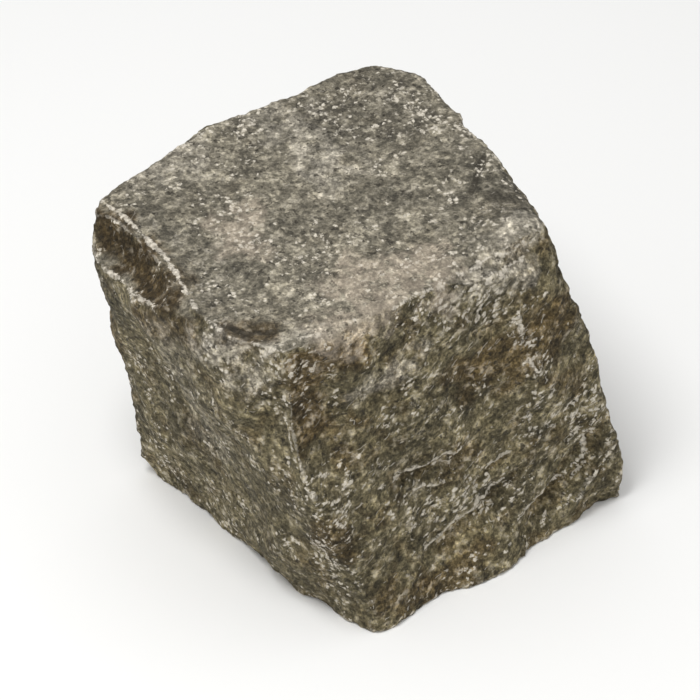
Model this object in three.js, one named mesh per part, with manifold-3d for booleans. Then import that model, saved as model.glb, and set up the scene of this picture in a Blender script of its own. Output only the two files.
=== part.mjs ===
// Basalt cobblestone: one hewn sett, split to a rough cube, its head worn by traffic.
//
// The body starts as a box whose eight corners are set by hand, so that no two sides are parallel.
// Its edges are rounded, rims and corners are broken off along planes, the sides get the uneven
// hollows, facets and stepped ledges of split rock, flake scars are struck into them, and the
// foot is cut level, so that the stone stands.
//
// Millimetres, +Z up. The front is -Y, the left is -X, and the origin is the middle of the foot.

import * as THREE from "three";
import { mergeVertices } from "three/addons/utils/BufferGeometryUtils.js";
import Module from "manifold-3d";

// ---- Driving dimensions ----

const HEIGHT = 94; // from the ground to the head
const EDGE_ROUNDING = 3.4; // radius of the worn main edges
const FOOT_ALLOWANCE = 6; // rock below the ground line, cut away when the foot is levelled
const STEPS = 30; // facets along each side of the box
const GRID_UNREST = 0.62; // how far a grid point may stray, as a share of a facet
const EDGE_CROWDING = 0.15; // how much closer the facets lie near the edges
const TOUCHING = 1e-5; // points closer than this are one point

// Corners of the head and the foot, as x, y and the height above the ground.
const CORNERS = {
  head: {
    frontLeft: [-58, -40, HEIGHT],
    frontRight: [37, -36, HEIGHT],
    backRight: [47, 58, HEIGHT - 1],
    backLeft: [-65, 43, HEIGHT - 1],
  },
  foot: {
    frontLeft: [-31, -52, -FOOT_ALLOWANCE],
    frontRight: [59, -43, -FOOT_ALLOWANCE],
    backRight: [50, 45, -FOOT_ALLOWANCE],
    backLeft: [-45, 34, -FOOT_ALLOWANCE],
  },
};

// Places where a side swells out, or in where the height is below zero: the middle of the
// swelling, the way it goes, its height and spread.
const SWELLS = {
  rightSideUnderHead: { at: [42, 14, 90], facing: [1, 0, 0], height: 4.5, spread: 18 },
  backSideUnderHead: { at: [-10, 50, 90], facing: [0, 1, 0], height: 4, spread: 26 },
  rightFrontEdge: { at: [48, -38, 50], facing: [1, -0.2, 0], height: 4.5, spread: 20 },
  rightFrontFoot: { at: [58, -38, 15], facing: [1, 0, 0], height: 5, spread: 9 },
  toeOfFront: { at: [-18, -52, 4], facing: [0, -1, 0], height: 1.5, spread: 12 },
  footOfFront: { at: [10, -47, 0], facing: [0, -1, 0], height: 2, spread: 11 },
  underLeftRim: { at: [-57, -21, 86], facing: [-1, -0.5, 0.2], height: 1.5, spread: 5 },
  hollowInFrontFoot: { at: [47, -43, 0], facing: [0, -1, 0], height: -3, spread: 6 },
  footOfLeftSide: { at: [-36, -32, 2], facing: [-1, -0.7, 0], height: 8, spread: 16 },
};

// Split faces that take off an edge or a corner: a point on the plane, the way it faces, and how
// softly it meets its neighbours.
const BREAKS = {
  frontLeftEdgeUpper: { at: [-48.5, -37, 90], facing: [-0.9, -0.45, 0], blend: 0.8 },
  frontLeftEdgeLower: { at: [-33, -40, 0], facing: [-0.9, -0.5, -0.2], blend: 0.8 },
  leftRim: { at: [-60, 0, 90], facing: [-1, -0.1, 0.8], blend: 0.5 },
  frontRightEdgeUpper: { at: [28, -37.5, 77], facing: [0.35, -1, 0.24], blend: 0.5 },
  backLeftEdge: { at: [-54, 38.5, 57], facing: [-1, 0.9, -0.2], blend: 1.4 },
  backRightEdge: { at: [46, 51, 50], facing: [1, 1.1, 0.1], blend: 1 },
  footOfBack: { at: [0, 44, 5], facing: [0.1, 0.8, -1], blend: 1 },
  footOfRightSide: { at: [57, 26, 6], facing: [0.8, 0.6, -1], blend: 1 },
};

// Scars of struck flakes, scooped out along a short run: its two ends, the way the scar faces, and
// its width and depth.
const FLAKES = {
  leftRimBack: { from: [-59, 31, 90], to: [-58, 10, 89], facing: [-0.8, 0, 0.6], width: 14, depth: 3 },
  leftRimFront: { from: [-52, -23, 94], to: [-44, -30, 94], facing: [-1, -1, 4], width: 8, depth: 1.6 },
  besideLeftEdge: { from: [-42, -39, 82], to: [-34, -42, 60], facing: [0, -1, 0.1], width: 22, depth: 3 },
  frontRim: { from: [12, -33, 94], to: [20, -32, 94], facing: [0, -0.5, 1], width: 13, depth: 1.6 },
  cornerOfHead: { from: [22, -37, 91], to: [33, -35, 89], facing: [1, -4, 5], width: 14, depth: 2.4 },
  rightSide: { from: [47, 14, 70], to: [47, 34, 58], facing: [1, 0.1, 0.1], width: 36, depth: 4 },
  lowerBack: { from: [-26, 43, 30], to: [4, 44, 22], facing: [0.1, 1, -0.1], width: 38, depth: 4 },
  backRim: { from: [0, 56, 87], to: [18, 57, 83], facing: [0, 1, 0.3], width: 20, depth: 2.5 },
};

// Stepped ends of flakes on a side: the ridge runs from one point to the other, the rock drops
// below it and comes back to the face further down.
const LEDGES = {
  frontLow: { from: [-6, -47, 17], to: [17, -44, 27], facing: [0, -1, 0.1], drop: 2.2, run: 16 },
  frontLowRight: { from: [23, -46, 9], to: [48, -43, 26], facing: [0, -1, 0.1], drop: 2.2, run: 12 },
  frontMiddle: { from: [-16, -44, 43], to: [4, -43, 42], facing: [0, -1, 0.1], drop: 1.4, run: 12 },
  rightSide: { from: [50, -20, 40], to: [50, 26, 28], facing: [1, 0, 0], drop: 3, run: 22 },
  back: { from: [30, 50, 62], to: [-28, 50, 50], facing: [0, 1, 0], drop: 3, run: 24 },
};

// Relief of the split sides. Dishes are hollows that meet at ridges, facets tilt out of the face
// and meet at soft creases, and waves run through both.
const DISHES = { size: 25, depth: 3 };
const SMALL_DISHES = { size: 11, depth: 1.4 };
const FACETS = { size: 28, tilt: 0.16, crease: 3.5 };
const WAVES = { length: 17, height: 0.9 };
const HEAD_WEAR = 0.75; // share of the relief that traffic has taken off the head
const HEAD_SLOPES = { steep: 0.5, level: 0.9 }; // upward lean from which a facet is part of the head

// How far struck faces stray from true planes and scoops, and how a ledge begins and ends: the
// width of its lip, the length over which it fades out at its ends, and the depth it works to.
const UNEVENNESS = { length: 12, height: 1.2 };
const LEDGE_LIP = 2;
const LEDGE_FADE = 3.5;
const LEDGE_SKIN = 8;
const SCAR_FACET = 6; // width of the facets in a scar

const DISH_LEVEL = 0.4; // share of a dish's depth that lies below the face it is worked into
const SALTS = { waves: 7, breaks: 11, scars: 13, ledges: 17, grid: 23 }; // one noise for each use

const STONE = { color: 0x6f6a5e, roughness: 0.85, metalness: 0 };

// ---- Repeatable noise ----

// A number from 0 to 1 for each point of a whole-number grid, the same on every run.
function hash(x, y, z, salt) {
  let h = Math.imul(x, 374761393) ^ Math.imul(y, 668265263) ^ Math.imul(z, 2147483647);
  h ^= Math.imul(salt, 1274126177);
  h = Math.imul(h ^ (h >>> 13), 1274126177);
  h = Math.imul(h ^ (h >>> 16), 2246822519);
  return ((h ^ (h >>> 15)) >>> 0) / 4294967295;
}

const { lerp, smoothstep } = THREE.MathUtils;
const fade = (t) => t * t * (3 - 2 * t);

// Smooth noise from -1 to 1, with humps about one length apart.
function waves(point, length, salt) {
  const [x, y, z] = [point.x / length, point.y / length, point.z / length];
  const [i, j, k] = [Math.floor(x), Math.floor(y), Math.floor(z)];
  const [u, v, w] = [fade(x - i), fade(y - j), fade(z - k)];
  const row = (dj, dk) => lerp(hash(i, j + dj, k + dk, salt), hash(i + 1, j + dj, k + dk, salt), u);
  const low = lerp(row(0, 0), row(1, 0), v);
  const high = lerp(row(0, 1), row(1, 1), v);
  return 2 * lerp(low, high, w) - 1;
}

// The cells of a jittered grid around a point: for each, the arm from its middle to the point,
// and the way it leans.
function cellsAround(point, size) {
  const cell = point.clone().divideScalar(size).floor();
  const steps = [-1, 0, 1];
  return steps.flatMap((di) =>
    steps.flatMap((dj) =>
      steps.map((dk) => {
        const [i, j, k] = [cell.x + di, cell.y + dj, cell.z + dk];
        const at = (salt) => hash(i, j, k, salt + size);
        const middle = new THREE.Vector3(i + at(1), j + at(2), k + at(3));
        const lean = new THREE.Vector3(at(4), at(5), at(6)).subScalar(0.5).multiplyScalar(2);
        return { arm: point.clone().addScaledVector(middle, -size), lean };
      }),
    ),
  );
}

// Height of a surface of hollow dishes that meet at ridges, deepest at the middle of each cell.
function dishes(point, { size, depth }) {
  const nearest = Math.min(...cellsAround(point, size).map(({ arm }) => arm.lengthSq()));
  return depth * (nearest / size ** 2 - DISH_LEVEL);
}

// Height of a surface of flat facets, each tilted its own way about its own middle.
function facets(point, { size, tilt, crease }) {
  let heights = 0;
  let weights = 0;
  cellsAround(point, size).forEach(({ arm, lean }) => {
    const weight = Math.exp(-arm.length() / crease);
    heights += weight * tilt * lean.dot(arm);
    weights += weight;
  });
  return heights / weights;
}

// ---- Shaping ----

const vector = (values) => new THREE.Vector3(...values);
const HEART = new THREE.Vector3(0, 0, HEIGHT / 2); // middle of the stone

// Grid lines closer together near the edges, where the shape turns fastest.
const crowdToEdges = (t) => (1 + EDGE_CROWDING) * t - EDGE_CROWDING * t ** 3;

// Shifts a grid point of the unit box within its side or along its edge, so that no row of facets
// runs straight.
function unsettle(point, index) {
  point.toArray().forEach((value, axis) => {
    const shift = (2 / STEPS) * GRID_UNREST * (hash(index, axis, 0, SALTS.grid) - 0.5);
    if (Math.abs(value) < 1 - TOUCHING) point.setComponent(axis, value + shift);
  });
}

// A point of the unit box, its edges rounded, placed between the eight corners.
function placeBetweenCorners(point) {
  const half = HEIGHT / 2;
  const core = 1 - EDGE_ROUNDING / half;
  const inner = point.clone().clampScalar(-core, core);
  const rounded = point.clone().sub(inner);
  if (rounded.length() > 0) rounded.setLength(EDGE_ROUNDING / half);
  rounded.add(inner);
  const right = (rounded.x + 1) / 2;
  const back = (rounded.y + 1) / 2;
  const up = (rounded.z + 1) / 2;
  const level = ({ frontLeft, frontRight, backRight, backLeft }) => {
    const front = vector(frontLeft).lerp(vector(frontRight), right);
    const rear = vector(backLeft).lerp(vector(backRight), right);
    return front.lerp(rear, back);
  };
  point.copy(level(CORNERS.foot).lerp(level(CORNERS.head), up));
}

// Carries a point out with the swelling around it.
function swell(point, { at, facing, height, spread }) {
  const share = Math.exp(-point.distanceToSquared(vector(at)) / (2 * spread ** 2));
  point.addScaledVector(vector(facing).normalize(), height * share);
}

// Draws a point that stands out past a split face in toward the heart of the stone, onto the
// face, with a soft turn into it.
function breakOff(point, { at, facing, blend }) {
  const outward = vector(facing).normalize();
  const offset = point.clone().sub(HEART);
  const reach = outward.dot(offset);
  const limit = outward.dot(vector(at).sub(HEART));
  const excess = reach - limit + UNEVENNESS.height * waves(point, UNEVENNESS.length, SALTS.breaks);
  const taken = (excess + Math.hypot(excess, 2 * blend)) / 2;
  point.addScaledVector(offset, -taken / Math.max(reach, limit));
}

// Lets the face drop behind a ridge and come back to its level further down.
function cutLedge(point, { from, to, facing, drop, run }) {
  const start = vector(from);
  const along = vector(to).sub(start);
  const length = along.length();
  along.normalize();
  const outward = vector(facing).normalize();
  const down = new THREE.Vector3().crossVectors(along, outward).normalize();
  if (down.z > 0) down.negate();
  const offset = point.clone().sub(start);
  const stray = 2 * UNEVENNESS.height * waves(point, UNEVENNESS.length, SALTS.ledges);
  const beyond = offset.dot(down) + stray;
  const walked = offset.dot(along);
  const fromEnds = Math.min(walked, length - walked);
  const reach = smoothstep(fromEnds, -LEDGE_FADE, LEDGE_FADE);
  const near = 1 - smoothstep(Math.abs(offset.dot(outward)), LEDGE_SKIN, 2 * LEDGE_SKIN);
  const profile = smoothstep(beyond, -LEDGE_LIP, LEDGE_LIP) * (1 - smoothstep(beyond, LEDGE_LIP, run));
  point.addScaledVector(outward, -drop * profile * reach * near);
}

// Splits each four-sided facet, two triangles in a row of the index, across its shorter diagonal.
function turnDiagonals(body) {
  const positions = body.getAttribute("position");
  const corner = (i) => new THREE.Vector3().fromBufferAttribute(positions, i);
  const distance = (i, j) => corner(i).distanceTo(corner(j));
  const { array } = body.index;
  for (let i = 0; i < array.length; i += 6) {
    const [a, b, d] = array.subarray(i, i + 3);
    const c = array[i + 4];
    if (distance(a, c) < distance(b, d)) array.set([a, b, c, a, c, d], i);
  }
}

// ---- Solid ----

// The stone before its scars are struck and its foot is cut: one closed skin.
function roughStone() {
  const skin = new THREE.BoxGeometry(2, 2, 2, STEPS, STEPS, STEPS);
  skin.deleteAttribute("normal");
  skin.deleteAttribute("uv");
  const body = mergeVertices(skin, TOUCHING);
  const positions = body.getAttribute("position");
  const point = new THREE.Vector3();
  const normal = new THREE.Vector3();

  for (let i = 0; i < positions.count; i++) {
    point.fromBufferAttribute(positions, i);
    unsettle(point, i);
    point.set(...point.toArray().map(crowdToEdges));
    placeBetweenCorners(point);
    Object.values(SWELLS).forEach((swelling) => swell(point, swelling));
    Object.values(BREAKS).forEach((split) => breakOff(point, split));
    positions.setXYZ(i, point.x, point.y, point.z);
  }

  body.computeVertexNormals();
  const normals = body.getAttribute("normal");
  for (let i = 0; i < positions.count; i++) {
    point.fromBufferAttribute(positions, i);
    normal.fromBufferAttribute(normals, i);
    const relief =
      dishes(point, DISHES) +
      dishes(point, SMALL_DISHES) +
      facets(point, FACETS) +
      WAVES.height * waves(point, WAVES.length, SALTS.waves);
    const onHead = smoothstep(normal.z, HEAD_SLOPES.steep, HEAD_SLOPES.level);
    point.addScaledVector(normal, relief * (1 - HEAD_WEAR * onHead));
    Object.values(LEDGES).forEach((ledge) => cutLedge(point, ledge));
    positions.setXYZ(i, point.x, point.y, point.z);
  }
  turnDiagonals(body);
  return body;
}

const wasm = await Module();
wasm.setup();

// A closed geometry as a solid that can be cut.
function solidOf(geometry) {
  const bare = geometry.clone();
  bare.deleteAttribute("normal");
  bare.deleteAttribute("uv");
  const merged = mergeVertices(bare, TOUCHING);
  const mesh = new wasm.Mesh({
    numProp: 3,
    vertProperties: merged.getAttribute("position").array,
    triVerts: new Uint32Array(merged.index.array),
  });
  return new wasm.Manifold(mesh);
}

function geometryOf(solid) {
  const { vertProperties, triVerts } = solid.getMesh();
  const geometry = new THREE.BufferGeometry();
  geometry.setAttribute("position", new THREE.BufferAttribute(vertProperties, 3));
  geometry.setIndex(new THREE.BufferAttribute(triVerts, 1));
  return geometry;
}

// What a scar takes out of the rock: a ball as wide and as deep in the face as the scar, drawn
// out along its run, with an uneven skin.
function scarTool({ from, to, facing, width, depth }) {
  const radius = (width ** 2 / 4 + depth ** 2) / (2 * depth);
  const run = vector(to).sub(vector(from));
  const middle = vector(from).addScaledVector(run, 0.5);
  const centre = middle.addScaledVector(vector(facing).normalize(), radius - depth);
  const upright = new THREE.Vector3(0, 1, 0);
  const tool = new THREE.IcosahedronGeometry(radius, Math.ceil(radius / SCAR_FACET));
  tool.scale(1, 1 + run.length() / width, 1);
  tool.applyQuaternion(new THREE.Quaternion().setFromUnitVectors(upright, run.normalize()));
  tool.translate(centre.x, centre.y, centre.z);

  const positions = tool.getAttribute("position");
  const point = new THREE.Vector3();
  for (let i = 0; i < positions.count; i++) {
    point.fromBufferAttribute(positions, i);
    const outward = point.clone().sub(centre).normalize();
    point.addScaledVector(outward, UNEVENNESS.height * waves(point, UNEVENNESS.length, SALTS.scars));
    positions.setXYZ(i, point.x, point.y, point.z);
  }
  return tool;
}

// Strikes the scars, cuts away what is below the ground line, and puts the origin at the middle
// of the foot.
function finishedStone(body) {
  const slabSide = 4 * HEIGHT;
  const ground = new THREE.BoxGeometry(slabSide, slabSide, HEIGHT).translate(0, 0, -HEIGHT / 2);
  const cuts = [...Object.values(FLAKES).map(scarTool), ground];
  const solid = cuts.reduce((left, cut) => left.subtract(solidOf(cut)), solidOf(body));
  const stone = geometryOf(solid);
  stone.computeBoundingBox();
  const middle = stone.boundingBox.getCenter(new THREE.Vector3());
  stone.translate(-middle.x, -middle.y, 0);
  stone.computeVertexNormals();
  return stone;
}

const cobblestone = new THREE.Mesh(finishedStone(roughStone()), new THREE.MeshStandardMaterial(STONE));
cobblestone.name = "cobblestone";

const group = new THREE.Group();
group.name = "basalt_cobblestone";
group.add(cobblestone);

export default group;
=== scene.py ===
"""Basalt cobblestone: the split, chipped and worn surface of one hewn sett, and the studio it stands in.

The surface is a fine grid that wraps the solid. It is drawn onto the solid, its facets are smoothed
away, and ledges, broken faces, chips and grain are worked into it. Lengths are in metres, +Z is up,
the front is -Y and the left is -X.
"""

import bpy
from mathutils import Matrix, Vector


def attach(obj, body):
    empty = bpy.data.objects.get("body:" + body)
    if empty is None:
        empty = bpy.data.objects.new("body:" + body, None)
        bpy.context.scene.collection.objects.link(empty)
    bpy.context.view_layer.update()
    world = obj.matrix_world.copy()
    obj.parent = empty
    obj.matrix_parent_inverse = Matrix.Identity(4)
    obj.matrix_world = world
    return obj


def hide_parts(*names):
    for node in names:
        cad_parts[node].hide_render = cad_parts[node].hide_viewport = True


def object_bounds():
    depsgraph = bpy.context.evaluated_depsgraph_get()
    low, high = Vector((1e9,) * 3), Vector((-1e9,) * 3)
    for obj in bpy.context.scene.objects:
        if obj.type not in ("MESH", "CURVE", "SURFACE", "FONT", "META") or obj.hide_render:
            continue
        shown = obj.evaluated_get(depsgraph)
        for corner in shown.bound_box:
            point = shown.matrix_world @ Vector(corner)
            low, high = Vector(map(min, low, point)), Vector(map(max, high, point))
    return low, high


bl_info = {
    "name": "Basalt Cobblestone",
    "version": (1, 0, 0),
    "blender": (4, 5, 0),
    "location": "3D View > Sidebar > Cobblestone",
    "description": "Works a hewn basalt sett: split faces, ledges, chips, grain and worn edges",
    "category": "Add Mesh",
}

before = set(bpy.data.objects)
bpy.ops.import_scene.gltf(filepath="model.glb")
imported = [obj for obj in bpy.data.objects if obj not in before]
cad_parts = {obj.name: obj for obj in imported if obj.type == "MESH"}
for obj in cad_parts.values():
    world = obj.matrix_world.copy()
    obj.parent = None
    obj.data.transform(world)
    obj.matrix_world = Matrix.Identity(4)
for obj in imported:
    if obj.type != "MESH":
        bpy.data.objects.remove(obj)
CAD_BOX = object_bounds()

import math
from functools import reduce

import bpy
import numpy as np
from bpy.props import FloatProperty, FloatVectorProperty, IntProperty, PointerProperty
from mathutils import Vector, noise
from mathutils.bvhtree import BVHTree

NODE = "cobblestone"
MM = 0.001

# ---- Places on the stone ----

# A line is a row of stops, and a stop is given as shares of the stone's box from the left, the front
# and the foot.

LEFT_HOLLOW = ((0.05, 0.79, 0.96), (0.06, 0.67, 0.94), (0.05, 0.55, 0.94), (0.05, 0.47, 0.96))
NOTCH_FLOOR = ((0.08, 0.27, 0.98), (0.11, 0.25, 0.98), (0.15, 0.22, 0.98))

# Stepped ends of flakes: how far the rock drops on the right-hand side of the line, the length over
# which it comes back to the face, how far the ridge is rubbed pale, from 0 to 1, and the ridge's line.
LEDGES = {
    "front_low": (1.1 * MM, 12 * MM, 1.0, (
        (0.46, 0.06, 0.17), (0.53, 0.08, 0.19), (0.61, 0.10, 0.22), (0.67, 0.11, 0.25),
    )),
    "front_low_right": (1.2 * MM, 10 * MM, 1.0, (
        (0.70, 0.08, 0.13), (0.76, 0.11, 0.15), (0.84, 0.13, 0.17), (0.90, 0.13, 0.20), (0.90, 0.14, 0.27),
    )),
    "front_middle": (0.8 * MM, 7 * MM, 1.0, ((0.39, 0.09, 0.45), (0.46, 0.10, 0.44), (0.55, 0.10, 0.44))),
    "front_middle_low": (0.6 * MM, 5 * MM, 0.95, ((0.44, 0.09, 0.38), (0.51, 0.09, 0.36))),
    "front_middle_right": (0.6 * MM, 6 * MM, 1.0, ((0.64, 0.11, 0.34), (0.69, 0.12, 0.34))),
    "head_front": (0.3 * MM, 5 * MM, 0.86, (
        (0.42, 0.16, 0.98), (0.59, 0.18, 0.98), (0.69, 0.20, 0.98), (0.77, 0.21, 0.97),
    )),
    "head_front_low": (0.4 * MM, 5 * MM, 0.86, (
        (0.52, 0.14, 0.94), (0.63, 0.15, 0.95), (0.76, 0.18, 0.95),
    )),
    "right": (1.2 * MM, 14 * MM, 0.9, ((0.94, 0.30, 0.42), (0.94, 0.72, 0.30))),
    "back": (1.2 * MM, 14 * MM, 0.9, ((0.77, 0.94, 0.65), (0.28, 0.94, 0.53))),
}

# Thin crests between two scars, and, with a height below zero, cracks: the height, how far it is rubbed
# pale, from 0 to 1, and the line.
CRESTS = {
    "left_rim_upper": (0.4 * MM, 1.0, (
        (0.07, 0.86, 0.98), (0.08, 0.74, 0.99), (0.09, 0.59, 0.99), (0.07, 0.46, 0.99),
    )),
    "left_rim_end": (0.3 * MM, 0.9, ((0.07, 0.46, 0.99), (0.06, 0.37, 0.98), (0.07, 0.29, 0.98))),
    "left_rim_lower": (0.4 * MM, 0.95, (
        (0.01, 0.71, 0.89), (0.01, 0.58, 0.90), (0.02, 0.48, 0.93), (0.05, 0.43, 0.97),
    )),
    "corner_rim": (0.5 * MM, 0.95, (
        (0.12, 0.20, 0.94), (0.13, 0.17, 0.98), (0.18, 0.17, 0.99), (0.24, 0.15, 0.99),
    )),
    "front_edge": (0.5 * MM, 0.8, (
        (0.12, 0.20, 0.94), (0.14, 0.18, 0.82), (0.15, 0.14, 0.71), (0.16, 0.12, 0.64),
    )),
    "front_left": (0.3 * MM, 0.8, ((0.33, 0.12, 0.73), (0.30, 0.11, 0.65), (0.25, 0.09, 0.54))),
    "front_right": (0.4 * MM, 0.95, (
        (0.72, 0.14, 0.81), (0.73, 0.13, 0.72), (0.75, 0.11, 0.62), (0.75, 0.11, 0.54),
    )),
    # The notch and the crack also get a dark line laid along them: painted shade in their grooves.
    "notch": (-0.6 * MM, 0, ((0.08, 0.30, 0.98), (0.12, 0.25, 0.98), (0.18, 0.21, 0.99))),
    "crack": (-0.4 * MM, 0, ((0.85, 0.52, 0.99), (0.76, 0.42, 0.99))),
}

# Places where the rock differs, by what lies there, and some brown and dark patches that are wholly or
# partly painted shade, in the left hollow, the scoop and the notch: half width, strength from 0 to 1, and
# the line.
PATCHES = {
    "brown": {
        "left_rim_hollow": (8 * MM, 1.0, LEFT_HOLLOW),
        "left_under_rim": (6 * MM, 0.7, ((0.00, 0.55, 0.85), (0.02, 0.42, 0.91), (0.03, 0.36, 0.92))),
        # Partly brown weathering and partly painted shade: the scoop below the front-left corner is laid
        # darker brown.
        "scoop": (7 * MM, 0.9, (
            (0.32, 0.13, 0.92), (0.20, 0.14, 0.93), (0.18, 0.14, 0.82), (0.20, 0.13, 0.69),
        )),
        "front_upper_right": (11 * MM, 0.8, ((0.60, 0.13, 0.68), (0.70, 0.13, 0.66), (0.82, 0.14, 0.72))),
        "front_tip": (7 * MM, 0.7, ((0.33, 0.02, 0.09), (0.45, 0.04, 0.03), (0.58, 0.05, 0.08))),
        "left_foot": (7 * MM, 0.7, ((0.20, 0.06, 0.38), (0.22, 0.05, 0.30))),
        # Painted shade: the notch's floor is laid brown and darker, as the shadow below the head's rim.
        "notch_brown_shade": (5 * MM, 0.8, NOTCH_FLOOR),
        "left_back": (13 * MM, 0.8, ((0.05, 0.85, 0.62), (0.12, 0.86, 0.36))),
        "right_weathered": (15 * MM, 0.8, ((0.90, 0.30, 0.80), (0.92, 0.46, 0.62), (0.94, 0.62, 0.58))),
        "back_weathered": (16 * MM, 0.8, ((0.25, 0.94, 0.34), (0.46, 0.95, 0.24), (0.70, 0.95, 0.32))),
    },
    "dark": {
        # Painted shade: the left hollow under the rim is darkened as if in shadow.
        "left_rim_shade": (8 * MM, 0.9, LEFT_HOLLOW),
        # Painted shade: the notch is darkened as the shadow below the head's rim.
        "notch": (4 * MM, 0.6, NOTCH_FLOOR),
        "front_middle": (10 * MM, 0.5, ((0.40, 0.11, 0.72), (0.47, 0.11, 0.69), (0.55, 0.12, 0.59))),
        "head_right": (9 * MM, 0.6, ((0.84, 0.46, 0.99), (0.80, 0.34, 0.99))),
        "head_back_right": (14 * MM, 0.35, (
            (0.72, 0.78, 0.98), (0.80, 0.68, 0.99), (0.76, 0.44, 0.99), (0.67, 0.31, 0.99),
        )),
        "head_middle": (11 * MM, 0.5, ((0.59, 0.49, 0.99), (0.65, 0.51, 0.99))),
        "head_left_shade": (7 * MM, 0.7, ((0.13, 0.72, 0.99), (0.15, 0.64, 0.99))),
        "head_near_notch": (6 * MM, 0.6, ((0.21, 0.47, 0.99), (0.23, 0.42, 0.99))),
        "right_low": (14 * MM, 0.8, ((0.94, 0.74, 0.28), (0.95, 0.50, 0.20), (0.95, 0.30, 0.10))),
        "back_shade": (15 * MM, 0.8, ((0.34, 0.94, 0.78), (0.56, 0.95, 0.62))),
    },
    "dust": {
        "dust_middle": (12 * MM, 1.0, ((0.40, 0.28, 0.99), (0.48, 0.25, 0.99), (0.54, 0.22, 0.99))),
        "dust_rim": (9 * MM, 1.0, ((0.40, 0.28, 0.99), (0.37, 0.16, 0.99), (0.26, 0.15, 0.98))),
        "head_stain": (7 * MM, 0.9, ((0.31, 0.63, 0.99), (0.25, 0.60, 0.99), (0.25, 0.51, 0.99))),
    },
    "pale": {
        "head_left": (11 * MM, 0.9, ((0.31, 0.88, 0.99), (0.23, 0.85, 0.99))),
        "head_back": (11 * MM, 1.0, ((0.54, 0.88, 0.99), (0.56, 0.78, 0.99), (0.53, 0.65, 0.99))),
        "head_front_right": (8 * MM, 1.0, ((0.72, 0.21, 0.99), (0.78, 0.24, 0.98))),
        "front_rim_right": (6 * MM, 0.9, ((0.60, 0.15, 0.95), (0.69, 0.16, 0.93), (0.77, 0.18, 0.92))),
        "corner_bump": (8 * MM, 1.0, ((0.03, 0.32, 0.90), (0.07, 0.27, 0.93), (0.11, 0.23, 0.87))),
        "corner_lip": (4 * MM, 1.0, ((0.13, 0.19, 0.98), (0.18, 0.18, 0.99), (0.25, 0.16, 0.99))),
        "front_grey": (5 * MM, 0.8, ((0.32, 0.12, 0.77), (0.41, 0.12, 0.79), (0.46, 0.12, 0.82))),
        "left_side": (13 * MM, 0.4, ((0.02, 0.45, 0.80), (0.06, 0.44, 0.64), (0.13, 0.47, 0.44))),
        "right_scar": (11 * MM, 0.6, ((0.92, 0.76, 0.74), (0.93, 0.66, 0.50))),
        "back_scar": (11 * MM, 0.6, ((0.78, 0.94, 0.80), (0.70, 0.95, 0.56))),
    },
    "bruised": {
        "front_rim": (9 * MM, 1.0, ((0.46, 0.15, 0.94), (0.53, 0.14, 0.88), (0.66, 0.14, 0.83))),
        "front_low_middle": (12 * MM, 1.0, ((0.45, 0.08, 0.35), (0.55, 0.08, 0.26), (0.68, 0.10, 0.23))),
        "front_right_line": (4 * MM, 1.0, ((0.72, 0.14, 0.78), (0.75, 0.11, 0.60))),
        "front_right_end": (7 * MM, 1.0, ((0.78, 0.11, 0.50), (0.88, 0.13, 0.40), (0.93, 0.13, 0.18))),
        "front_low_left": (5 * MM, 1.0, ((0.24, 0.11, 0.56), (0.25, 0.08, 0.50), (0.24, 0.06, 0.42))),
        "front_left_foot": (6 * MM, 1.0, ((0.20, 0.08, 0.33), (0.21, 0.10, 0.19))),
        "right_rim": (6 * MM, 0.8, ((0.85, 0.36, 0.97), (0.86, 0.58, 0.97), (0.82, 0.82, 0.97))),
        "back_rim": (6 * MM, 0.8, ((0.24, 0.94, 0.97), (0.48, 0.93, 0.97), (0.70, 0.93, 0.97))),
    },
}

# What is noted at each point of the surface, from 0 to 1, for the material to read: the patches, then
# the lines, and then what comes from the shape itself.
MARKS = (
    "brown", "dark", "pale", "bruised", "dust", "crest", "crack", "worn", "rim", "edge", "ridge", "hollow",
)


def place(stop):
    """The point at those shares of the stone's box."""
    low, high = CAD_BOX
    return np.array([a + (b - a) * s for a, b, s in zip(low, high, stop)])


# ---- Settings that a user would change ----


def length(name, description, default):
    return FloatProperty(name=name, description=description, default=default, unit="LENGTH")


def fraction(name, description, default):
    return FloatProperty(
        name=name, description=description, default=default, min=0.0, max=1.0, subtype="FACTOR"
    )


def angle(name, description, degrees):
    return FloatProperty(name=name, description=description, default=math.radians(degrees), subtype="ANGLE")


def colour(name, description, default):
    return FloatVectorProperty(name=name, description=description, default=default, size=3, subtype="COLOR")


class StoneShape(bpy.types.PropertyGroup):
    """Sizes of what is worked into the stone's sides."""

    seed: IntProperty(name="Seed", description="Which pattern of broken faces is made", default=3, min=1)
    steps: IntProperty(name="Steps", description="Faces along each side of the grid", default=128, min=8)
    hewn_size: length("Hewn size", "Width of the large broken faces", 8 * MM)
    hewn_height: length("Hewn height", "Height of the large broken faces", 0.5 * MM)
    chip_size: length("Chip size", "Width of the small broken faces", 3.4 * MM)
    chip_height: length("Chip height", "Height of the small broken faces", 0.38 * MM)
    grain_size: length("Grain size", "Width of the coarse grain", 1.5 * MM)
    grain_height: length("Grain height", "Height of the coarse grain", 0.3 * MM)
    rim_chips: length("Rim chips", "Depth of the chips along the edges", 1.0 * MM)
    head_relief: fraction("Head relief", "Share of the relief left on the worn head", 0.28)
    left_wear: fraction("Left wear", "Wear of the left side, where that of the head is 1", 0.4)


class StoneFinish(bpy.types.PropertyGroup):
    """Colours of the rock and of what lies on it."""

    head: colour("Head", "Worn rock on the head", (0.156, 0.140, 0.105))
    side: colour("Side", "Split rock on the sides", (0.120, 0.101, 0.055))
    # Brown is also laid as painted shade in the notch, and partly in the scoop; dark is also laid along the
    # notch and the crack as painted shade.
    brown: colour("Brown", "Rusty weathering in hollows", (0.072, 0.046, 0.015))
    dark: colour("Dark", "Dark grains and pits", (0.026, 0.022, 0.015))
    bruise: colour("Bruise", "Bruised grains and edges", (0.68, 0.625, 0.53))
    dust: colour("Dust", "Trodden dust on the head", (0.39, 0.33, 0.255))


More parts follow.
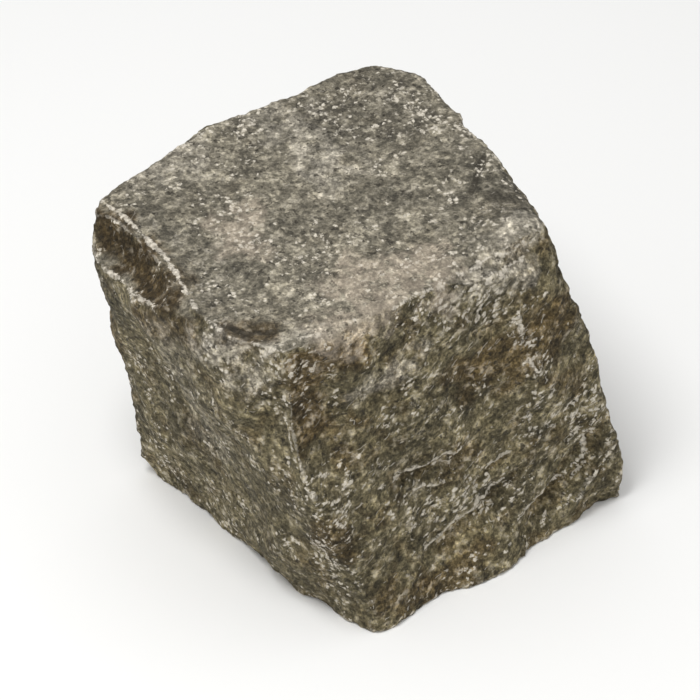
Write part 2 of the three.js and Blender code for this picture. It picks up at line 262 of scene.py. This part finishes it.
class StudioSettings(bpy.types.PropertyGroup):
    """The camera's place and the light."""

    azimuth: angle("Azimuth", "Camera's turn round the stone", -31)
    elevation: angle("Elevation", "Camera's height angle", 40)
    lens: FloatProperty(name="Lens", description="Focal length in millimetres", default=300.0, unit="CAMERA")
    fill: FloatProperty(
        name="Fill", description="Share of the frame's width that the stone's box takes", default=1.02,
        subtype="FACTOR",
    )
    sky: FloatProperty(name="Sky", description="Strength of the even white light", default=0.70)
    key: FloatProperty(name="Key", description="Power of the overhead light", default=2.6, unit="POWER")
    floor: colour("Floor", "Studio floor", (0.90, 0.90, 0.89))


# ---- Noise ----

LEAN = 3.0  # how steeply a broken face may lean
LEAN_SPREAD = 5.3  # keeps the lean of one face from following that of the next


def sampled(function, points, size):
    """The function at each point, with lengths counted in that size."""
    return np.array([function(Vector(p)) for p in points / size])


def waves(points, size, octaves=3):
    """Soft noise from about -1 to 1, with humps about one size apart."""
    return sampled(lambda p: noise.fractal(p, 0.7, 2.0, octaves), points, size)


def broken_faces(points, size, crease):
    """Height of small faces, each tilted its own way, that meet at creases, from about -1 to 1."""

    def height(p):
        distances, middles = noise.voronoi(p)
        total = weights = 0.0
        for distance, middle in zip(distances, middles):
            weight = math.exp(-distance / crease)
            lean = noise.noise_vector(middle * LEAN_SPREAD)
            total += weight * LEAN * lean.dot(p - middle)
            weights += weight
        return total / weights

    return sampled(height, points, size)


def smoothstep(values, low, high):
    """0 where the value is below low and 1 where it is above high, with a soft change between."""
    t = np.clip((values - low) / (high - low), 0.0, 1.0)
    return t * t * (3 - 2 * t)


# ---- The grid that wraps the stone ----

ATLAS_MARGIN = 0.015  # bare border round each of the atlas's six squares


def wrapped_grid(steps):
    """A cube's welded surface grid: points from -1 to 1, four-sided faces, and each corner's atlas place."""
    line = np.arange(steps)
    i, j = (a.ravel() for a in np.meshgrid(line, line, indexing="ij"))
    ring = ((0, 0), (1, 0), (1, 1), (0, 1))
    corners, atlas = [], []
    for side in range(6):
        axis, far = side // 2, side % 2
        first, second = ((1, 2), (2, 0), (0, 1))[axis]
        turned = ring if far else ring[::-1]
        quads = np.zeros((steps * steps, 4, 3), dtype=np.int64)
        quads[:, :, axis] = far * steps
        for corner, (di, dj) in enumerate(turned):
            quads[:, corner, first] = i + di
            quads[:, corner, second] = j + dj
        corners.append(quads)
        along = quads[:, :, (first, second)] / steps
        column, row = side % 3, side // 3
        atlas.append((along * (1 - 2 * ATLAS_MARGIN) + ATLAS_MARGIN + (column, row)) / (3, 2))
    corners = np.concatenate(corners).reshape(-1, 3)
    points, faces = np.unique(corners, axis=0, return_inverse=True)
    return points / steps * 2 - 1, faces.reshape(-1, 4), np.concatenate(atlas).reshape(-1, 2)


def drawn_onto(solid, grid):
    """The grid, hung between the solid's eight corners and drawn from its middle onto its skin."""
    skin = np.array([v.co for v in solid.data.vertices])
    low, high = skin.min(0), skin.max(0)
    middle = (low + high) / 2
    spread = (skin - middle) / (high - low)
    hung = np.zeros_like(grid)
    for signs in np.array(np.meshgrid((-1, 1), (-1, 1), (-1, 1))).T.reshape(-1, 3):
        corner = skin[np.argmax(spread @ signs)]
        hung += np.prod((1 + signs * grid) / 2, axis=1)[:, None] * corner
    tree = BVHTree.FromPolygons(
        [v.co for v in solid.data.vertices], [tuple(p.vertices) for p in solid.data.polygons]
    )
    start = Vector(middle)
    drawn = []
    for point in hung:
        hit = tree.ray_cast(start, Vector(point) - start)[0]
        if hit is None:
            raise RuntimeError("the solid has an opening: a ray from its middle met no skin")
        drawn.append(hit)
    return np.array(drawn)


def neighbour_mean(points, faces):
    """For each point, the mean of the points that it shares an edge with."""
    total = np.zeros_like(points)
    count = np.zeros(len(points))
    for a, b in ((0, 1), (1, 2), (2, 3), (3, 0)):
        for start, end in ((faces[:, a], faces[:, b]), (faces[:, b], faces[:, a])):
            for axis in range(3):
                total[:, axis] += np.bincount(start, points[end, axis], len(points))
            count += np.bincount(start, minlength=len(points))
    return total / count[:, None]


def smoothed(points, faces, rounds):
    """The points after that many rounds of moving halfway to their neighbours' mean."""
    for _ in range(rounds):
        points = (points + neighbour_mean(points, faces)) / 2
    return points


def without_facets(points, faces, rounds):
    """The points with small facets smoothed away, and the larger shape kept by swelling them back."""
    shrink, swell = 0.5, -0.52
    for _ in range(rounds):
        for step in (shrink, swell):
            points = points + step * (neighbour_mean(points, faces) - points)
    return points


def normals_of(points, faces):
    """The outward way at each point."""
    across = np.cross(points[faces[:, 2]] - points[faces[:, 0]], points[faces[:, 3]] - points[faces[:, 1]])
    total = np.zeros_like(points)
    for corner in range(4):
        for axis in range(3):
            total[:, axis] += np.bincount(faces[:, corner], across[:, axis], len(points))
    return total / np.linalg.norm(total, axis=1)[:, None]


def bulge(points, faces, normals, rounds):
    """How far each point stands out from its surroundings, which are wider with more rounds."""
    return np.einsum("ij,ij->i", points - smoothed(points, faces, rounds), normals)


# ---- Shaping ----

BED = Vector((0.86, 0.15, 0.48)).normalized()  # the way that breaks run on in this rock
BED_STRETCH = 1.7  # how much longer they are that way
BREAK_STRAY = 0.9 * MM  # how far the creases between broken faces wander
LEDGE_STRAY = 1.2 * MM  # how far a ledge's ridge strays from its line
LEDGE_FALL = 1.0 * MM  # the length over which the rock drops beside the ridge
LEDGE_SOLE = 1.5 * MM  # how far from the ridge it starts to come back to the face
LEDGE_END = 4 * MM  # the length over which a ledge dies out past the ends of its line
CREST_STRAY = 0.5 * MM  # how far a crest strays from its line
CREST_WIDTH = 0.8 * MM  # how far out from its line a crest stands up
CREST_FADE = 3 * MM  # how far from a crest or ridge its mark falls to nothing

# Rounds of smoothing, which even out the facets or tell each form from its surroundings.
FACET_ROUNDS = 26
RIM_ROUNDS = 60
EDGE_ROUNDS = 12
RIDGE_ROUNDS = 6
HOLLOW_ROUNDS = 40


def along_the_bed(points):
    """The points, drawn together along the bed, so that what is laid out on them comes out longer."""
    bed = np.array(BED)
    return points - (1 - 1 / BED_STRETCH) * (points @ bed)[:, None] * bed


def nearest_on(points, line):
    """For each point, the arm to it from the nearest place on the line, and the way the line runs there."""
    stops = [place(stop) for stop in line]
    arms = np.full_like(points, np.inf)
    ways = np.zeros_like(points)
    for start, end in zip(stops, stops[1:]):
        reach = np.linalg.norm(end - start)
        along = (end - start) / reach
        walked = np.clip((points - start) @ along, 0, reach)
        arm = points - start - walked[:, None] * along
        closer = np.linalg.norm(arm, axis=1) < np.linalg.norm(arms, axis=1)
        arms[closer] = arm[closer]
        ways[closer] = along
    return arms, ways


def ledge_profile(points, normals, line, run, stray):
    """How far each point belongs to the drop beside a ledge's ridge, and to its lip, from 0 to 1."""
    arms, ways = nearest_on(points, line)
    down = np.cross(ways, normals)
    below = np.einsum("ij,ij->i", arms, down) / np.linalg.norm(down, axis=1) + LEDGE_STRAY * stray
    beside = np.abs(np.einsum("ij,ij->i", arms, ways))
    near = 1 - smoothstep(np.linalg.norm(arms, axis=1), run, 1.3 * run)
    reach = near * (1 - smoothstep(beside, 0, LEDGE_END))
    drop = smoothstep(below, 0, LEDGE_FALL) * (1 - smoothstep(below, LEDGE_SOLE, run))
    lip = np.clip(1 - np.abs(below) / CREST_FADE, 0, 1)
    return drop * reach, lip * reach


def crest_profile(points, line, stray):
    """How far each point belongs to a crest, and to the pale line along it, from 0 to 1."""
    away = np.linalg.norm(nearest_on(points, line)[0], axis=1) + CREST_STRAY * stray
    return np.exp(-((away / CREST_WIDTH) ** 2)), np.clip(1 - away / CREST_FADE, 0, 1)


def patch_profile(points, line, width, stray):
    """How far each point belongs to a patch, from 0 to 1."""
    away = np.linalg.norm(nearest_on(points, line)[0], axis=1) + 0.5 * width * stray
    return 1 - smoothstep(away, 0.4 * width, width)


def add_mark(marks, name, values):
    """Raises the mark to those values wherever they are above it."""
    marks[name] = np.maximum(marks[name], values)


def lay_patches(marks, points, stray):
    """Marks the places where the rock differs."""
    for kind, patches in PATCHES.items():
        for width, strength, line in patches.values():
            add_mark(marks, kind, strength * patch_profile(points, line, width, stray))


def broken_rock(shape, points, marks, calm):
    """Height of the broken faces, chips and grain at each point, less where the stone is calm."""
    wander = np.stack([waves(points + k, 5 * MM, 2) for k in (0.1, 0.2, 0.3)], axis=1)
    strayed = along_the_bed(points) + BREAK_STRAY * wander
    hewn = broken_faces(strayed, shape.hewn_size, 0.05)
    hewn += 1.2 * broken_faces(strayed, 2.2 * shape.hewn_size, 0.04)
    chips = broken_faces(strayed, shape.chip_size, 0.08)
    grain = waves(points, shape.grain_size)
    relief = shape.hewn_height * hewn + shape.chip_height * chips * (1 + marks["bruised"])
    relief *= 1 - calm * (1 - shape.head_relief)
    relief += shape.grain_height * grain * (1 - 0.4 * marks["worn"])
    chipped = shape.rim_chips * marks["rim"] * np.clip(waves(strayed, 4.5 * MM, 2) + 0.1, 0, 1)
    relief -= chipped * (0.15 + marks["bruised"])
    return relief


def cut_ledges(relief, marks, points, normals, stray):
    """Takes the ledges' drops out of the relief and marks their lips."""
    for drop, run, rubbed, line in LEDGES.values():
        fall, lip = ledge_profile(points, normals, line, run, stray)
        relief -= drop * fall
        add_mark(marks, "crest", rubbed * lip)


def raise_crests(relief, marks, points, stray):
    """Adds the crests, with breaks in them, to the relief, and marks them and the cracks."""
    unbroken = smoothstep(waves(points, 4 * MM, 2), -0.8, -0.35)
    for height, rubbed, line in CRESTS.values():
        crest, beside = crest_profile(points, line, stray)
        relief += height * crest * unbroken
        add_mark(marks, "crest", rubbed * beside)
        # Below zero, the line is also marked for a dark line laid along it: painted shade in the groove.
        if height < 0:
            add_mark(marks, "crack", beside)


class COBBLE_OT_stone(bpy.types.Operator):
    """Wraps the solid in a fine surface and works ledges, broken faces, chips and grain into it"""

    bl_idname = "cobble.stone"
    bl_label = "Work the stone"

    def execute(self, context):
        shape = context.scene.cobble_shape
        noise.seed_set(shape.seed)
        grid, faces, atlas = wrapped_grid(shape.steps)
        points = without_facets(drawn_onto(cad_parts[NODE], grid), faces, FACET_ROUNDS)
        normals = normals_of(points, faces)
        left = shape.left_wear * smoothstep(-normals[:, 0], 0.45, 0.85)
        calm = np.maximum(smoothstep(normals[:, 2], 0.25, 0.70), left)
        foot = smoothstep(-normals[:, 2], 0.55, 0.93)

        marks = {name: np.zeros(len(points)) for name in MARKS}
        marks["worn"] = np.maximum(smoothstep(normals[:, 2], 0.45, 0.88), left)
        marks["rim"] = smoothstep(bulge(points, faces, normals, RIM_ROUNDS), 0.25 * MM, 1.1 * MM)
        marks["edge"] = np.clip(bulge(points, faces, normals, EDGE_ROUNDS) / (0.4 * MM), 0, 1)

        stray = waves(points, 7 * MM)
        lay_patches(marks, points, stray)
        relief = broken_rock(shape, points, marks, calm)
        cut_ledges(relief, marks, points, normals, stray)
        raise_crests(relief, marks, points, stray)

        # Nothing stands out below the flat foot, so there only what is cut in is kept.
        resting = np.minimum(relief, 0) * foot
        worked = points + (relief * (1 - foot) + resting)[:, None] * normals
        worked = np.clip(worked, *CAD_BOX)

        normals = normals_of(worked, faces)
        marks["ridge"] = smoothstep(bulge(worked, faces, normals, RIDGE_ROUNDS), 0.06 * MM, 0.28 * MM)
        marks["hollow"] = smoothstep(-bulge(worked, faces, normals, HOLLOW_ROUNDS), 0.05 * MM, 0.9 * MM)

        stone = mesh_piece("cobblestone_surface", worked, faces, atlas, marks)
        stone.data.materials.append(Basalt(context.scene.cobble_finish).material)
        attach(stone, "root")
        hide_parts(NODE)
        return {"FINISHED"}


def placed(name, data):
    """A new object that holds the data, in the scene."""
    thing = bpy.data.objects.new(name, data)
    bpy.context.scene.collection.objects.link(thing)
    return thing


def mesh_piece(name, points, faces, atlas, marks):
    """A shaded mesh object of those points and faces, with its atlas and one attribute for each mark."""
    mesh = bpy.data.meshes.new(name)
    mesh.from_pydata(points.tolist(), [], faces.tolist())
    mesh.shade_smooth()
    layer = mesh.uv_layers.new(name="OFBake")
    layer.uv.foreach_set("vector", atlas.astype(np.float32).ravel())
    for mark, values in marks.items():
        attribute = mesh.attributes.new(mark, "FLOAT", "POINT")
        attribute.data.foreach_set("value", values.astype(np.float32))
    if mesh.validate():
        raise RuntimeError(f"{name} had faces that Blender could not keep")
    return placed(name, mesh)


# ---- Materials ----


def opaque(colour):
    """The colour as a socket takes it, with its fourth value."""
    return (*colour, 1.0)


class Shading:
    """A new material. Its calls each add a node, or a few, and return the output that holds the result."""

    def __init__(self, name):
        self.material = bpy.data.materials.new(name)
        self.material.use_nodes = True
        self.tree = self.material.node_tree
        self.shader = self.tree.nodes["Principled BSDF"]

    def add(self, kind, inputs, output=0, **settings):
        node = self.tree.nodes.new("ShaderNode" + kind)
        for name, value in settings.items():
            setattr(node, name, value)
        for name, value in inputs.items():
            self.feed(node.inputs[name], value)
        return node.outputs[output]

    def feed(self, socket, value):
        """Links an output to the socket, or sets a plain value on it."""
        if isinstance(value, bpy.types.NodeSocket):
            self.tree.links.new(value, socket)
        else:
            socket.default_value = value

    def math(self, operation, a, b=0.0):
        return self.add("Math", {0: a, 1: b}, operation=operation)

    def plus(self, *values):
        return reduce(lambda a, b: self.math("ADD", a, b), values)

    def times(self, *values):
        return reduce(lambda a, b: self.math("MULTIPLY", a, b), values)

    def most(self, a, b):
        return self.math("MAXIMUM", a, b)

    def less(self, a, b):
        return self.math("SUBTRACT", a, b)

    def mix(self, share, a, b):
        """Colour a, with that share of colour b laid over it."""
        return self.add("Mix", {0: share, 6: a, 7: b}, output=2, data_type="RGBA")

    def scaled(self, tone, factor):
        return self.add("VectorMath", {0: tone, "Scale": factor}, operation="SCALE")

    def ramp(self, value, low, high, start=0.0, end=1.0):
        """Start where the value is at low, end where it is at high, with a soft change between."""
        inputs = {"Value": value, "From Min": low, "From Max": high, "To Min": start, "To Max": end}
        return self.add("MapRange", inputs, interpolation_type="SMOOTHSTEP")

    def noise(self, where, size, detail=3.0, roughness=0.55, distortion=0.0):
        """Soft noise round 0.5, with humps about one size apart."""
        inputs = {
            "Vector": where,
            "Scale": 1 / size,
            "Detail": detail,
            "Roughness": roughness,
            "Distortion": distortion,
        }
        return self.add("TexNoise", inputs)

    def crystals(self, where, size):
        """Grains of that size: a value that each grain has of its own, and how far its middle is."""
        stray = self.add("TexNoise", {"Vector": where, "Scale": 1.3 / size, "Detail": 2.0}, output="Color")
        offset = self.scaled(stray, 1.2 * size)
        spot = self.add("VectorMath", {0: where, 1: offset}, operation="ADD")
        value = self.add("TexVoronoi", {"Vector": spot, "Scale": 1 / size}, output="Color")
        return value, value.node.outputs["Distance"]

    def along_the_bed(self, where, stretch):
        """The place, drawn together along the bed, so that what is laid out on it comes out longer."""
        along = self.add("VectorMath", {0: where, 1: BED}, output="Value", operation="DOT_PRODUCT")
        excess = self.scaled(BED, self.times(along, 1 - 1 / stretch))
        return self.add("VectorMath", {0: where, 1: excess}, operation="SUBTRACT")


class Basalt(Shading):
    """Fine dark basalt. Each layer takes the colour below it and returns the colour with it on."""

    # How each mark adds to the share of grains that are bruised.
    FLECK_WEIGHTS = {"ridge": 0.3, "rim": 0.08, "bruised": 0.3, "pale": -0.05, "brown": -0.15, "dark": -0.15}

    def __init__(self, finish):
        super().__init__("basalt")
        self.finish = finish
        self.marks = {name: self.mark(name) for name in MARKS}
        self.worn = self.marks["worn"]
        self.spot = self.add("TexCoord", {}, output="Object")
        self.bedded = self.along_the_bed(self.spot, BED_STRETCH)
        self.clouds = self.noise(self.spot, 17 * MM, 5, 0.6)
        self.blotches = self.bedded_noise(5 * MM, 3, 0.6)
        self.clumps = self.noise(self.spot, 2.3 * MM, 3, 0.6)
        self.grain = self.noise(self.spot, 0.9 * MM, 3, 0.7)
        self.crystal, self.away = self.grains()
        self.patchy = self.ramp(self.noise(self.spot, 4 * MM, 4, 0.7), 0.32, 0.6)
        self.dusty = self.times(self.marks["dust"], self.patchy)
        self.pits = self.pitting()
        self.ragged = self.ragged_crests()

        rock = self.mix(self.ramp(self.worn, 0.3, 1), opaque(finish.side), opaque(finish.head))
        rock = self.weathered_and_shaded(rock)
        rock = self.powdered(rock)
        rock = self.mottled(rock)
        rock = self.pitted(rock)
        rock = self.flecked(rock)
        rock = self.scratched(rock)
        rock = self.laid(rock, self.dusty, 0.35, finish.dust)
        self.feed(self.shader.inputs["Base Color"], rock)
        self.feed(self.shader.inputs["Roughness"], self.ramp(self.grain, 0.35, 0.7, 0.95, 0.68))
        self.shader.inputs["Specular IOR Level"].default_value = 0.3
        self.feed(self.shader.inputs["Normal"], self.roughened())

    def mark(self, name):
        return self.add("Attribute", {}, output="Fac", attribute_name=name)

    def laid(self, rock, share, strength, colour):
        """The rock, with that strength of the colour laid over that share of it."""
        return self.mix(self.times(share, strength), rock, opaque(colour))

    def swung(self, rock, value, strength):
        """The rock times a factor round 1, which grows by that strength as the value goes from 0 to 1."""
        return self.scaled(rock, self.math("POWER", strength, self.less(value, 0.5)))

    def bedded_noise(self, *settings):
        """Noise that runs along the bed on the split sides, and every way on the worn head."""
        bedded, even = self.noise(self.bedded, *settings), self.noise(self.spot, *settings)
        return self.ramp(self.worn, 0.45, 0.7, bedded, even)

    def grains(self):
        """Each grain's own value, and how far its middle is, with a ragged edge."""
        coarse, fine = self.crystals(self.bedded, 1.1 * MM), self.crystals(self.spot, 1.15 * MM)
        crystal, away = (self.ramp(self.worn, 0.15, 0.3, a, b) for a, b in zip(coarse, fine))
        frayed = self.ramp(self.noise(self.spot, 0.45 * MM, 2, 0.6), 0.3, 0.7, -0.16, 0.16)
        return crystal, self.plus(away, frayed)

    def pitting(self):
        """Where the rock has pits, and the lines along the notch and the crack, which are darkened as
        painted shade.
        """
        split = self.plus(self.marks["crack"], self.ramp(self.grain, 0.3, 0.7, -0.1, 0.1))
        pits = self.ramp(self.noise(self.spot, 1.9 * MM, 2, 0.6), 0.38, 0.31)
        return self.most(pits, self.ramp(split, 0.72, 0.84))

    def ragged_crests(self):
        """Where the crests are, with a frayed edge."""
        fray = self.ramp(self.noise(self.spot, 2.2 * MM, 3, 0.7), 0.3, 0.7, -0.15, 0.15)
        return self.plus(self.marks["crest"], fray)

    def weathered_and_shaded(self, rock):
        """Brown weathering in hollows and patches, with painted shade in the notch and partly in the scoop,
        and darker patches, some of them painted shade in the left hollow and the notch.
        """
        rusty = self.ramp(self.noise(self.spot, 12 * MM, 4, 0.6, 0.5), 0.48, 0.68, 0.0, 0.6)
        rusty = self.most(rusty, self.times(self.marks["hollow"], 0.5))
        rusty = self.times(rusty, self.ramp(self.worn, 0, 1, 1.0, 0.2))
        rock = self.laid(rock, rusty, 1.0, self.finish.brown)
        rock = self.laid(rock, self.marks["brown"], 0.9, self.finish.brown)
        # Darker where the dark patches lie; in the left hollow and the notch this is painted shade.
        return self.scaled(rock, self.ramp(self.marks["dark"], 0, 1, 1.0, 0.6))

    def powdered(self, rock):
        """Trodden dust, and pale patches where the rock is powdered."""
        rock = self.laid(rock, self.dusty, 0.5, self.finish.dust)
        powder = self.times(self.marks["pale"], self.patchy, self.ramp(self.worn, 0.5, 1.0, 0.35, 0.2))
        return self.laid(rock, powder, 1.0, self.finish.bruise)

    def mottled(self, rock):
        """Darker and lighter clouds, blotches, clumps and grains, and a frost on the lightest."""
        for value, on_sides, on_head in (
            (self.clouds, 9.0, 6.0),
            (self.blotches, 14.0, 7.0),
            (self.clumps, 38.0, 13.0),
            (self.grain, 40.0, 16.0),
            (self.crystal, 3.0, 3.0),
        ):
            rock = self.swung(rock, value, self.ramp(self.worn, 0, 0.6, on_sides, on_head))
        frost = self.times(self.ramp(self.clumps, 0.48, 0.72), self.ramp(self.blotches, 0.4, 0.65))
        return self.laid(rock, frost, self.ramp(self.worn, 0.3, 1.0, 0.45, 0.28), self.finish.bruise)

    def pitted(self, rock):
        """Dark pits, and painted shade along the notch and the crack."""
        return self.laid(rock, self.pits, 0.75, self.finish.dark)

    def flecked(self, rock):
        """Bruised grains, in clusters, and the rubbed crests and edges."""
        share = self.ramp(self.bedded_noise(4.5 * MM, 4, 0.65), 0.40, 0.62, 0.00, 0.52)
        share = self.plus(
            share,
            self.ramp(self.noise(self.spot, 15 * MM, 2, 0.5), 0.35, 0.65, -0.30, 0.15),
            self.ramp(self.worn, 0.1, 0.35, 0.0, 0.02),
            *(self.times(self.marks[name], weight) for name, weight in self.FLECK_WEIGHTS.items()),
            self.ramp(self.ragged, 0.65, 0.85, 0.0, 0.2),
        )
        chosen = self.less(self.crystal, self.less(1.0, share))
        flecks = self.times(self.ramp(chosen, 0.0, 0.25, 0.0, 1.0), self.ramp(self.away, 0.60, 0.36))
        flecks = self.most(flecks, self.rubbed())
        flecks = self.times(
            flecks, self.ramp(self.grain, 0.35, 0.6, 0.55, 1.0), self.ramp(self.worn, 0.4, 0.9, 1.0, 0.95)
        )
        return self.laid(rock, flecks, 1.0, self.finish.bruise)

    def rubbed(self):
        """Where crests and edges are rubbed pale, grain by grain."""
        fray = self.ramp(self.noise(self.spot, 3 * MM, 4, 0.7), 0.3, 0.7, -0.3, 0.3)
        edges = self.ramp(self.plus(self.marks["edge"], fray), 0.75, 1.0, 0.0, 0.35)
        lines = self.most(self.ramp(self.ragged, 0.72, 0.86), edges)
        return self.times(lines, self.ramp(self.away, 0.75, 0.4, 0.6, 1.0))

    def scratched(self, rock):
        """Short thin scratches along the bed."""
        lined = self.along_the_bed(self.spot, 4)
        line = self.math("ABSOLUTE", self.less(self.noise(lined, 5 * MM, 2, 0.5), 0.5))
        broken = self.ramp(self.noise(self.spot, 3 * MM, 2, 0.5), 0.56, 0.62)
        kept = self.ramp(self.worn, 0.1, 0.35, 1.0, 0.4)
        scratches = self.times(self.ramp(line, 0.012, 0.004), broken, kept)
        return self.laid(rock, scratches, 0.5, self.finish.bruise)

    def roughened(self):
        """Bump of the grains and pits."""
        height = self.plus(self.grain, self.times(self.pits, -0.5), self.times(self.crystal, 0.5))
        return self.add("Bump", {"Strength": 0.9, "Distance": 0.4 * MM, "Height": height})


def floor_paint(base):
    """A matt, even finish of that colour."""
    make = Shading("studio_floor")
    make.shader.inputs["Base Color"].default_value = opaque(base)
    make.shader.inputs["Roughness"].default_value = 0.9
    make.shader.inputs["Specular IOR Level"].default_value = 0.2
    return make.material


# ---- Studio ----

# All three are counted in half the diagonal of the stone's box.
FLOOR_REACH = 40
KEY_PLACE = Vector((-2.4, -0.7, 6.6))
KEY_WIDTH = 2.5

FAR = 100.0  # the furthest that the camera sees


def lay_floor(studio, level, half):
    """Lays a square floor that reaches that far each way."""
    mesh = bpy.data.meshes.new("floor")
    corners = [(-half, -half, level), (half, -half, level), (half, half, level), (-half, half, level)]
    mesh.from_pydata(corners, [], [(0, 1, 2, 3)])
    mesh.materials.append(floor_paint(studio.floor))
    floor = placed("floor", mesh)


def light_sky(scene, studio):
    """Lights the scene evenly and white from all round."""
    world = bpy.data.worlds.new("studio_sky")
    world.use_nodes = True
    sky = world.node_tree.nodes["Background"]
    sky.inputs["Color"].default_value = (1.0, 1.0, 1.0, 1.0)
    sky.inputs["Strength"].default_value = studio.sky
    scene.world = world


def hang_key_light(studio, middle, radius):
    """Hangs a round soft light over the stone and turns it to the stone's middle."""
    light = bpy.data.lights.new("key", "AREA")
    light.shape = "DISK"
    light.size = KEY_WIDTH * radius
    light.energy = studio.key
    lamp = placed("key", light)
    at = middle + radius * KEY_PLACE
    lamp.location = at
    lamp.rotation_euler = (at - middle).to_track_quat("Z", "Y").to_euler()


def set_camera(scene, studio, middle, radius):
    """Looks at the stone's middle, from as far as lets the stone's box fill its share of the frame."""
    lens = bpy.data.cameras.new("camera")
    lens.lens = studio.lens
    lens.clip_end = FAR
    camera = placed("camera", lens)
    turn, lift = studio.azimuth, studio.elevation
    back = Vector((math.sin(turn) * math.cos(lift), -math.cos(turn) * math.cos(lift), math.sin(lift)))
    across = lens.sensor_width / lens.lens
    camera.location = middle + back * (2 * radius / (across * studio.fill))
    camera.rotation_euler = back.to_track_quat("Z", "Y").to_euler()
    scene.camera = camera


class COBBLE_OT_studio(bpy.types.Operator):
    """Sets the pale floor, the soft lights and the camera"""

    bl_idname = "cobble.studio"
    bl_label = "Set the studio"

    def execute(self, context):
        scene = context.scene
        studio = scene.cobble_studio
        low, high = (Vector(corner) for corner in CAD_BOX)
        middle, radius = (low + high) / 2, (high - low).length / 2
        lay_floor(studio, low.z, FLOOR_REACH * radius)
        light_sky(scene, studio)
        hang_key_light(studio, middle, radius)
        set_camera(scene, studio, middle, radius)
        scene.view_settings.view_transform = "Standard"
        return {"FINISHED"}


class COBBLE_PT_workshop(bpy.types.Panel):
    """Lists the stone's settings and the steps that make it"""

    bl_idname = "COBBLE_PT_workshop"
    bl_label = "Cobblestone"
    bl_space_type = "VIEW_3D"
    bl_region_type = "UI"
    bl_category = "Cobblestone"

    def draw(self, context):
        for label, group in (
            ("Shape", context.scene.cobble_shape),
            ("Finish", context.scene.cobble_finish),
            ("Studio", context.scene.cobble_studio),
        ):
            box = self.layout.box()
            box.label(text=label)
            for name in group.__annotations__:
                box.prop(group, name)
        self.layout.operator(COBBLE_OT_stone.bl_idname)
        self.layout.operator(COBBLE_OT_studio.bl_idname)


CLASSES = (StoneShape, StoneFinish, StudioSettings, COBBLE_OT_stone, COBBLE_OT_studio, COBBLE_PT_workshop)


def register():
    for kind in CLASSES:
        bpy.utils.register_class(kind)
    bpy.types.Scene.cobble_shape = PointerProperty(type=StoneShape)
    bpy.types.Scene.cobble_finish = PointerProperty(type=StoneFinish)
    bpy.types.Scene.cobble_studio = PointerProperty(type=StudioSettings)


def unregister():
    del bpy.types.Scene.cobble_studio
    del bpy.types.Scene.cobble_finish
    del bpy.types.Scene.cobble_shape
    for kind in reversed(CLASSES):
        bpy.utils.unregister_class(kind)


def main():
    register()
    bpy.ops.cobble.studio()
    bpy.ops.cobble.stone()


if __name__ == "__main__":
    main()
